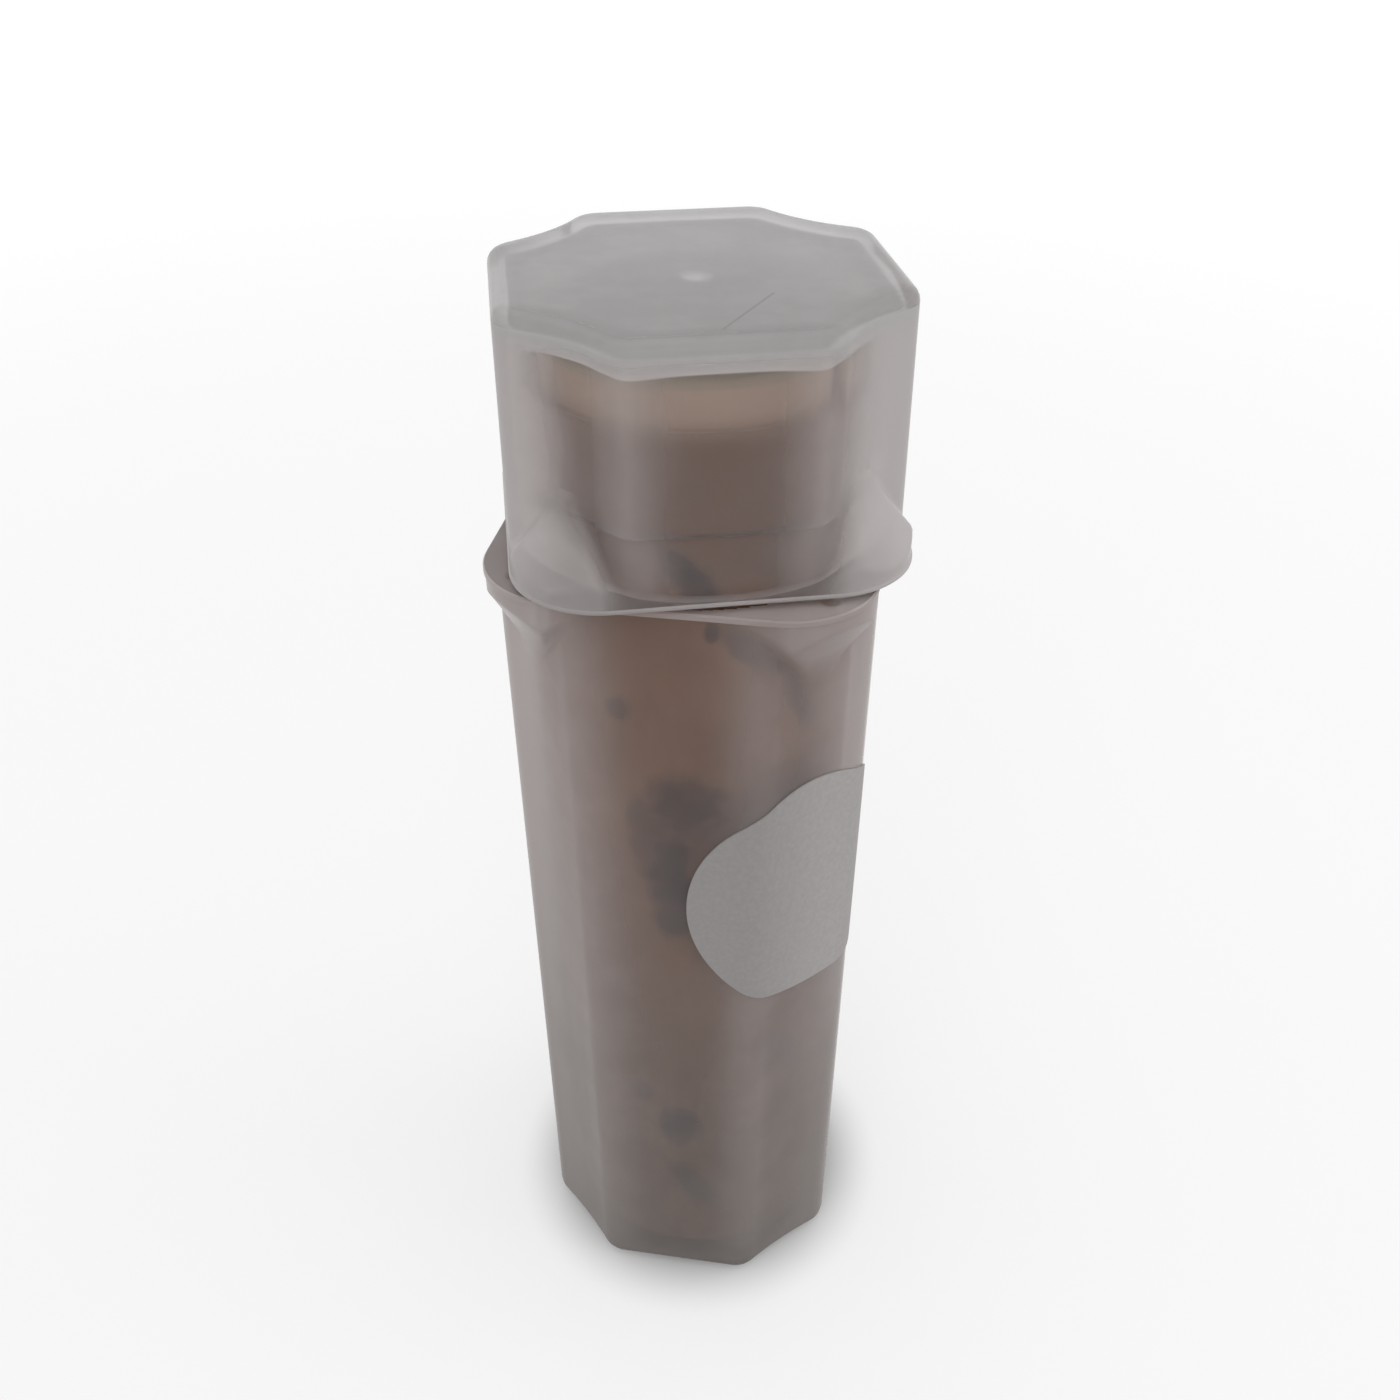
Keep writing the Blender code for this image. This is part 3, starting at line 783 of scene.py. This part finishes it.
class Graph:
    """A node tree, and short ways to add nodes to it."""

    def __init__(self, tree):
        self.tree = tree

    def feed(self, socket, value):
        """Links a socket to another one, or sets its value."""
        if isinstance(value, bpy.types.NodeSocket):
            self.tree.links.new(value, socket)
        else:
            socket.default_value = value

    def node(self, kind, **settings):
        node = self.tree.nodes.new(kind)
        for name, value in settings.items():
            setattr(node, name, value)
        return node

    def math(self, operation, *values):
        """The result of an operation on numbers."""
        node = self.node("ShaderNodeMath", operation=operation)
        for socket, value in zip(node.inputs, values):
            self.feed(socket, value)
        return node.outputs[0]

    def largest(self, values):
        """The largest of some values."""
        whole = values[0]
        for value in values[1:]:
            whole = self.math("MAXIMUM", whole, value)
        return whole

    def span(self, value, low, high, to_low=0.0, to_high=1.0):
        """The value's soft step from low to high, as a step from to_low to to_high."""
        node = self.node("ShaderNodeMapRange", interpolation_type="SMOOTHSTEP")
        for socket, item in zip(node.inputs, (value, low, high, to_low, to_high)):
            self.feed(socket, item)
        return node.outputs["Result"]

    def vector(self, operation, *values):
        """The result of a vector operation."""
        node = self.node("ShaderNodeVectorMath", operation=operation)
        for socket, value in zip(node.inputs, values):
            self.feed(socket, value)
        return node.outputs["Value" if operation in NUMBER_OPERATIONS else "Vector"]

    def scaled(self, vector, amount):
        """A vector times a number."""
        node = self.node("ShaderNodeVectorMath", operation="SCALE")
        self.feed(node.inputs[0], vector)
        self.feed(node.inputs["Scale"], amount)
        return node.outputs["Vector"]

    def seen(self):
        """1 for what the camera sees, also in a reflection or through plastic, and 0 for other light."""
        path = self.node("ShaderNodeLightPath")
        rays = ("Is Camera Ray", "Is Glossy Ray", "Is Transmission Ray")
        return self.largest([path.outputs[ray] for ray in rays])


class MaterialGraph(Graph):
    """A new material's node tree, with its Principled shader."""

    def __init__(self, name, values):
        self.material = bpy.data.materials.new(name)
        self.material.use_nodes = True
        super().__init__(self.material.node_tree)
        self.shader = self.tree.nodes["Principled BSDF"]
        for socket, value in values.items():
            self.shader.inputs[socket].default_value = value

    def drive(self, socket, value):
        """Feeds one of the shader's sockets."""
        self.feed(self.shader.inputs[socket], value)

    def place(self, scale=(1.0, 1.0, 1.0)):
        """Object coordinates in millimetres, stretched by these scales."""
        coordinates = self.node("ShaderNodeTexCoord").outputs["Object"]
        mapping = self.node("ShaderNodeMapping")
        self.feed(mapping.inputs["Vector"], coordinates)
        mapping.inputs["Scale"].default_value = [share / MM for share in scale]
        return mapping.outputs["Vector"]

    def axes(self):
        """The X, Y and Z of the object coordinates in millimetres."""
        node = self.node("ShaderNodeSeparateXYZ")
        self.feed(node.inputs[0], self.place())
        return node.outputs

    def reach(self):
        """The distance from the tube's axis in millimetres."""
        return self.vector("LENGTH", self.vector("MULTIPLY", self.place(), (1, 1, 0)))

    def noise(self, size, detail=3.0, stretch=(1.0, 1.0, 1.0)):
        """Noise with features of about this size in millimetres."""
        node = self.node("ShaderNodeTexNoise")
        self.feed(node.inputs["Vector"], self.place(stretch))
        node.inputs["Scale"].default_value = 1 / size
        node.inputs["Detail"].default_value = detail
        return node.outputs["Fac"]

    def blend(self, share, first, second):
        """From the first to the second of two tones, which are colours or sockets."""
        node = self.node("ShaderNodeMix", data_type="RGBA")
        self.feed(node.inputs["Factor"], share)
        for socket, tone in ((MIX_FIRST_COLOUR, first), (MIX_SECOND_COLOUR, second)):
            linked = isinstance(tone, bpy.types.NodeSocket)
            self.feed(node.inputs[socket], tone if linked else (*tone, 1.0))
        return node.outputs[MIX_COLOUR]

    def bump(self, height, depth):
        """Roughens the surface by heights from 0 to 1, which stand for this depth."""
        node = self.node("ShaderNodeBump")
        node.inputs["Strength"].default_value = 1.0
        node.inputs["Distance"].default_value = depth
        self.feed(node.inputs["Height"], height)
        self.drive("Normal", node.outputs[0])

    def rounded_normal(self, side):
        """The surface's own normal, pulled most of the way to that of a round wall.

        The side is 1 for an outside, where that points away from the tube's axis, and -1 for an inside.
        """
        geometry = self.node("ShaderNodeNewGeometry")
        sign = self.span(geometry.outputs["Backfacing"], 0.0, 1.0, 1.0, -1.0)
        own = self.scaled(geometry.outputs["Normal"], sign)
        away = self.vector("NORMALIZE", self.vector("MULTIPLY", self.place(), (side, side, 0)))
        return self.vector("NORMALIZE", self.vector("ADD", own, self.scaled(away, ROUNDNESS)))

    def smudges(self, radius):
        """How strongly ink covers the roll's side; the smudges come twice round it."""
        place = self.axes()
        angle = self.math("WRAP", self.math("ARCTAN2", place["Y"], place["X"]), math.pi, 0.0)
        grain = self.math("SUBTRACT", self.noise(INK_GRAIN_SIZE, detail=5.0), 0.5)
        covers = []
        for turn, level, half_length, half_width, tilt, strength in SMUDGES:
            around = self.math("MULTIPLY", self.math("SUBTRACT", angle, math.radians(turn)), radius)
            rise = self.math("SUBTRACT", place["Z"], level)
            along = self.tilted(around, rise, math.radians(tilt), half_length)
            across = self.tilted(rise, around, -math.radians(tilt), half_width)
            apart = self.math("ADD", self.math("POWER", along, 2.0), self.math("POWER", across, 2.0))
            apart = self.math("ADD", apart, self.math("MULTIPLY", grain, INK_GRAIN))
            covers.append(self.span(apart, *INK_FADE, 0.0, strength))
        return self.largest(covers)

    def tilted(self, first, second, tilt, unit):
        """The first of two lengths after a turn by the tilt, measured in this unit."""
        first = self.math("MULTIPLY", first, math.cos(tilt))
        second = self.math("MULTIPLY", second, math.sin(tilt))
        return self.math("DIVIDE", self.math("ADD", first, second), unit)

    def scratches(self):
        """How strongly thin straight scratches mark the surface."""
        covers = []
        for start, end, half_width in SCRATCHES:
            line = Vector(end) - Vector(start)
            from_start = self.vector("SUBTRACT", self.place(), start)
            along = self.vector("DOT_PRODUCT", from_start, line / line.length_squared)
            share = self.node("ShaderNodeClamp")
            self.feed(share.inputs[0], along)
            apart = self.vector("DISTANCE", from_start, self.scaled(line, share.outputs[0]))
            covers.append(self.span(apart, half_width, 0.0, 0.0, SCRATCH_STRENGTH))
        return self.largest(covers)


def frosted_plastic(name, tone, ramps, facings, rounded=0, gate_tone=None):
    """Milky polyethylene: see-through face on, hazy where it is thick or seen at a low angle.

    Each ramp changes the tone from one level to the other. The haze comes in over the facings. With rounded
    these are the facings of an almost round wall, 1 for its outside and -1 for its inside.
    """
    graph = MaterialGraph(name, {"IOR": PLASTIC_IOR, "Roughness": PLASTIC_ROUGHNESS})
    level = graph.axes()["Z"]
    streaks = graph.noise(STREAK_SIZE, stretch=STREAK_STRETCH)
    streaks = graph.span(streaks, *MIDDLE_NOISE, *STREAK_POWERS)
    for low, high, ramp_tone in ramps:
        share = graph.math("POWER", graph.span(level, low, high), streaks)
        tone = graph.blend(share, tone, ramp_tone)
    if gate_tone:
        tone = graph.blend(graph.span(graph.reach(), *GATE_FADE), tone, gate_tone)
    graph.drive("Base Color", graph.blend(graph.scratches(), tone, SCRATCH_TONE))
    haze = graph.node("ShaderNodeAttribute", attribute_name="haze").outputs["Fac"]
    facing = graph.node("ShaderNodeLayerWeight")
    facing.inputs["Blend"].default_value = 0.5
    if rounded:
        graph.feed(facing.inputs["Normal"], graph.rounded_normal(rounded))
    edge = graph.span(facing.outputs["Facing"], *facings)
    cloudy = graph.span(graph.noise(CLOUD_SIZE), *CLOUD_NOISE, *CLOUD_POWERS)
    clear = graph.math("MULTIPLY", graph.math("SUBTRACT", 1.0, haze), graph.math("SUBTRACT", 1.0, edge))
    graph.drive("Transmission Weight", graph.math("POWER", clear, cloudy))
    graph.bump(graph.noise(WAVE_SIZE, detail=1.0), WAVE_DEPTH)
    return graph.material


def clear_plastic(name, tone):
    """The plastic where it isn't hazy: the tube's bore, and a dark clear tint that paints shade on the
    cap's ledge and in the slit between the flanges.
    """
    values = {"IOR": CLEAR_IOR, "Transmission Weight": 1.0, "Roughness": CLEAR_ROUGHNESS}
    graph = MaterialGraph(name, values)
    clouds = graph.span(graph.noise(CLEAR_CLOUD_SIZE), *MIDDLE_NOISE)
    shade = [CLEAR_CLOUD_SHADE * share for share in tone]
    graph.drive("Base Color", graph.blend(clouds, shade, tone))
    return graph.material


def kraft_paper(radius, top):
    """Brown paper with ink smudges; near its top, painted light makes the side a lighter tan and the
    crimped top pale, and painted shade darkens a band round its shoulder.
    """
    graph = MaterialGraph("kraft_paper", {"Roughness": PAPER_ROUGHNESS})
    fibres = graph.noise(FIBRE_SIZE, detail=4.0, stretch=FIBRE_STRETCH)
    clouds = graph.noise(PAPER_CLOUD_SIZE, detail=2.0)
    tone = graph.blend(graph.span(clouds, *MIDDLE_NOISE), PAPER_DARK, PAPER_LIGHT)
    tone = graph.blend(graph.span(fibres, *FIBRE_NOISE, 0.0, FIBRE_STRENGTH), tone, FIBRE_TONE)
    tone = graph.blend(graph.smudges(radius / MM), tone, INK_TONE)
    below_top = graph.math("SUBTRACT", top / MM, graph.axes()["Z"])
    # Painted light: the side turns a lighter tan near the top, where the roll stands above the tube's neck
    tone = graph.blend(graph.span(below_top, *TOP_END_LIGHT_FADE), tone, TOP_END_LIGHT_TONE)
    shoulder = (radius - SHOULDER_ROUND) / MM
    inward = graph.span(graph.reach(), shoulder, shoulder - CRIMP_LIGHT_FADE)
    # Painted shade: a darker band round the roll's shoulder, under the cap's ceiling
    shoulder_shade = graph.math("MULTIPLY", graph.span(below_top, *SHOULDER_SHADE_FADE), graph.math("SUBTRACT", 1.0, inward))
    tone = graph.blend(shoulder_shade, tone, SHOULDER_SHADE_TONE)
    # Painted light: the crimped top face is pale where light falls on it
    graph.drive("Base Color", graph.blend(inward, tone, CRIMP_LIGHT_TONE))
    graph.bump(fibres, FIBRE_DEPTH)
    return graph.material


def white_paper():
    """The label's paper, with painted light: lighter towards +X."""
    graph = MaterialGraph("white_paper", {"Roughness": LABEL_ROUGHNESS})
    fibres = graph.noise(LABEL_FIBRE_SIZE, detail=4.0)
    # Painted light: the paper turns lighter towards +X
    lit_side = graph.span(graph.axes()["X"], *LABEL_LIT_SIDE)
    dark = graph.blend(lit_side, *LABEL_DARK)
    light = graph.blend(lit_side, *LABEL_LIGHT)
    graph.drive("Base Color", graph.blend(graph.span(fibres, *LABEL_FIBRE_NOISE), dark, light))
    graph.bump(fibres, LABEL_FIBRE_DEPTH)
    return graph.material


def worn_copper():
    """Copper that is darker and rougher where it is tarnished."""
    graph = MaterialGraph("worn_copper", {"Metallic": 1.0})
    tarnish = graph.noise(TARNISH_SIZE, detail=5.0)
    graph.drive("Base Color", graph.blend(graph.span(tarnish, *MIDDLE_NOISE), COPPER_DARK, COPPER_LIGHT))
    graph.drive("Roughness", graph.span(tarnish, *MIDDLE_NOISE, *COPPER_ROUGHNESS))
    graph.bump(graph.noise(COPPER_GRAIN_SIZE), COPPER_GRAIN_DEPTH)
    return graph.material


def add_camera():
    """A camera at the photograph's viewing angle."""
    data = bpy.data.cameras.new("camera")
    data.sensor_width = SENSOR_WIDTH
    data.lens = FOCAL_LENGTH
    data.clip_start = CAMERA_NEAR
    camera = bpy.data.objects.new("camera", data)
    turn = Matrix.Rotation(CAMERA_TURN, 4, "Z") @ Matrix.Rotation(QUARTER_TURN - CAMERA_DOWN, 4, "X")
    camera.matrix_world = Matrix.Translation(CAMERA_PLACE) @ turn @ Matrix.Rotation(CAMERA_ROLL, 4, "Z")
    bpy.context.scene.collection.objects.link(camera)
    bpy.context.scene.camera = camera


def add_floor():
    """A pale floor that glows where it is seen away from the tube, with a painted contact shadow round the
    tube's base where the glow fades out; it keeps the tube's shadow too.
    """
    corners = [(-FLOOR_HALF, -FLOOR_HALF, 0), (FLOOR_HALF, -FLOOR_HALF, 0)]
    corners += [(FLOOR_HALF, FLOOR_HALF, 0), (-FLOOR_HALF, FLOOR_HALF, 0)]
    mesh = bpy.data.meshes.new("floor")
    mesh.from_pydata(corners, [], [(0, 1, 2, 3)])
    values = {"Base Color": FLOOR_GREY, "Roughness": FLOOR_ROUGHNESS, "Emission Color": WHITE}
    graph = MaterialGraph("floor", values)
    away = graph.vector("LENGTH", graph.place())
    # No glow near the tube's base: a painted contact shadow
    glows = [graph.span(away, near, far, 0.0, strength) for near, far, strength in FLOOR_GLOWS_AND_SHADOW]
    graph.drive("Emission Strength", graph.math("MULTIPLY", graph.seen(), graph.math("ADD", *glows)))
    mesh.materials.append(graph.material)
    floor = bpy.data.objects.new("floor", mesh)
    bpy.context.scene.collection.objects.link(floor)


def light_world():
    """A white surround: at full strength where it is seen, dimmer where it only lights matt surfaces."""
    world = bpy.data.worlds.new("surround")
    bpy.context.scene.world = world
    world.use_nodes = True
    graph = Graph(world.node_tree)
    background = graph.tree.nodes["Background"]
    background.inputs["Color"].default_value = WHITE
    graph.feed(background.inputs["Strength"], graph.span(graph.seen(), 0.0, 1.0, SURROUND_LIGHT, 1.0))


def add_lamp(name, place, size, power):
    """A soft square lamp that points at the part's middle."""
    data = bpy.data.lights.new(name, "AREA")
    data.shape = "SQUARE"
    data.size = size
    data.energy = power
    lamp = bpy.data.objects.new(name, data)
    lamp.location = place
    aim = LAMP_AIM - Vector(place)
    lamp.rotation_euler = aim.to_track_quat("-Z", "Y").to_euler()
    bpy.context.scene.collection.objects.link(lamp)


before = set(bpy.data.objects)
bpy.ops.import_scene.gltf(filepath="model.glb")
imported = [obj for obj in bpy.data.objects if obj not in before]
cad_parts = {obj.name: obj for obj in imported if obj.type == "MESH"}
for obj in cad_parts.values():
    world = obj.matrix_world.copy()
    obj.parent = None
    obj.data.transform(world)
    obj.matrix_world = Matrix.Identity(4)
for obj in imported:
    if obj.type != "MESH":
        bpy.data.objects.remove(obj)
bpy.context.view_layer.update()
bpy.context.scene.view_settings.view_transform = "Standard"

wrapper_low, wrapper_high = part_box("paper_wrapper")
rim_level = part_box("tube")[1].z
bore_at_floor = wrapper_high.x + ROLL_PLAY
neck_outside = bore_at_floor + BORE_DRAFT * (rim_level - FLOOR_THICKNESS) + NECK_WALL
cap_low, cap_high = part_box("cap")

plastics = [
    frosted_plastic("frosted_tube", BASE_TONE, TUBE_RAMPS, TUBE_FACINGS, rounded=1),
    frosted_plastic("frosted_cap", CAP_TONE, CAP_RAMPS, CAP_FACINGS, rounded=1),
    frosted_plastic("frosted_inside", INSIDE_TONE, INSIDE_RAMPS, CAP_FACINGS, rounded=-1),
    clear_plastic("clear_bore", BORE_TONE),
    # A dark clear tint for painted shade
    clear_plastic("clear_painted_shade", PAINTED_SHADE_TONE),
    frosted_plastic("frosted_ceiling", CEILING_TONE, (), FLAT_FACINGS, gate_tone=GATE_TONE),
    frosted_plastic("frosted_neck", NECK_TONE, (), FLAT_FACINGS),
    frosted_plastic("frosted_plate", FLANGE_TONE, PLATE_RAMPS, PLATE_FACINGS),
]
copper = worn_copper()

tube = tube_mesh(bore_at_floor, rim_level)
add_piece("tube_moulding", tube, plastics, "tube", "tube")
cap = cap_mesh(neck_outside, cap_low.z, cap_high.z)
add_piece("cap_moulding", cap, plastics, "cap", "cap")
sleeve = wrapper_mesh(wrapper_high.x, wrapper_low.z, wrapper_high.z)
paper = kraft_paper(wrapper_high.x, wrapper_high.z)
add_piece("paper_sleeve", sleeve, [paper], "roll", "paper_wrapper")
add_piece("label_disc", label_mesh(bore_at_floor), [white_paper()], "tube", "round_label")
for name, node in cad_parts.items():
    if not name.startswith("coin_"):
        continue
    low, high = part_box(name)
    if name in ("coin_01", f"coin_{COIN_COUNT}"):
        coin = coin_mesh(name, high.x, low.z, high.z)
        add_piece(f"struck_{name}", coin, [copper], "roll", name)
    else:
        node.data.materials.clear()
        node.data.materials.append(copper)
        node.data.shade_smooth()
        node.data.set_sharp_from_angle(angle=COIN_SHARP_ANGLE)

add_camera()
add_floor()
light_world()
for lamp in LAMPS:
    add_lamp(*lamp)
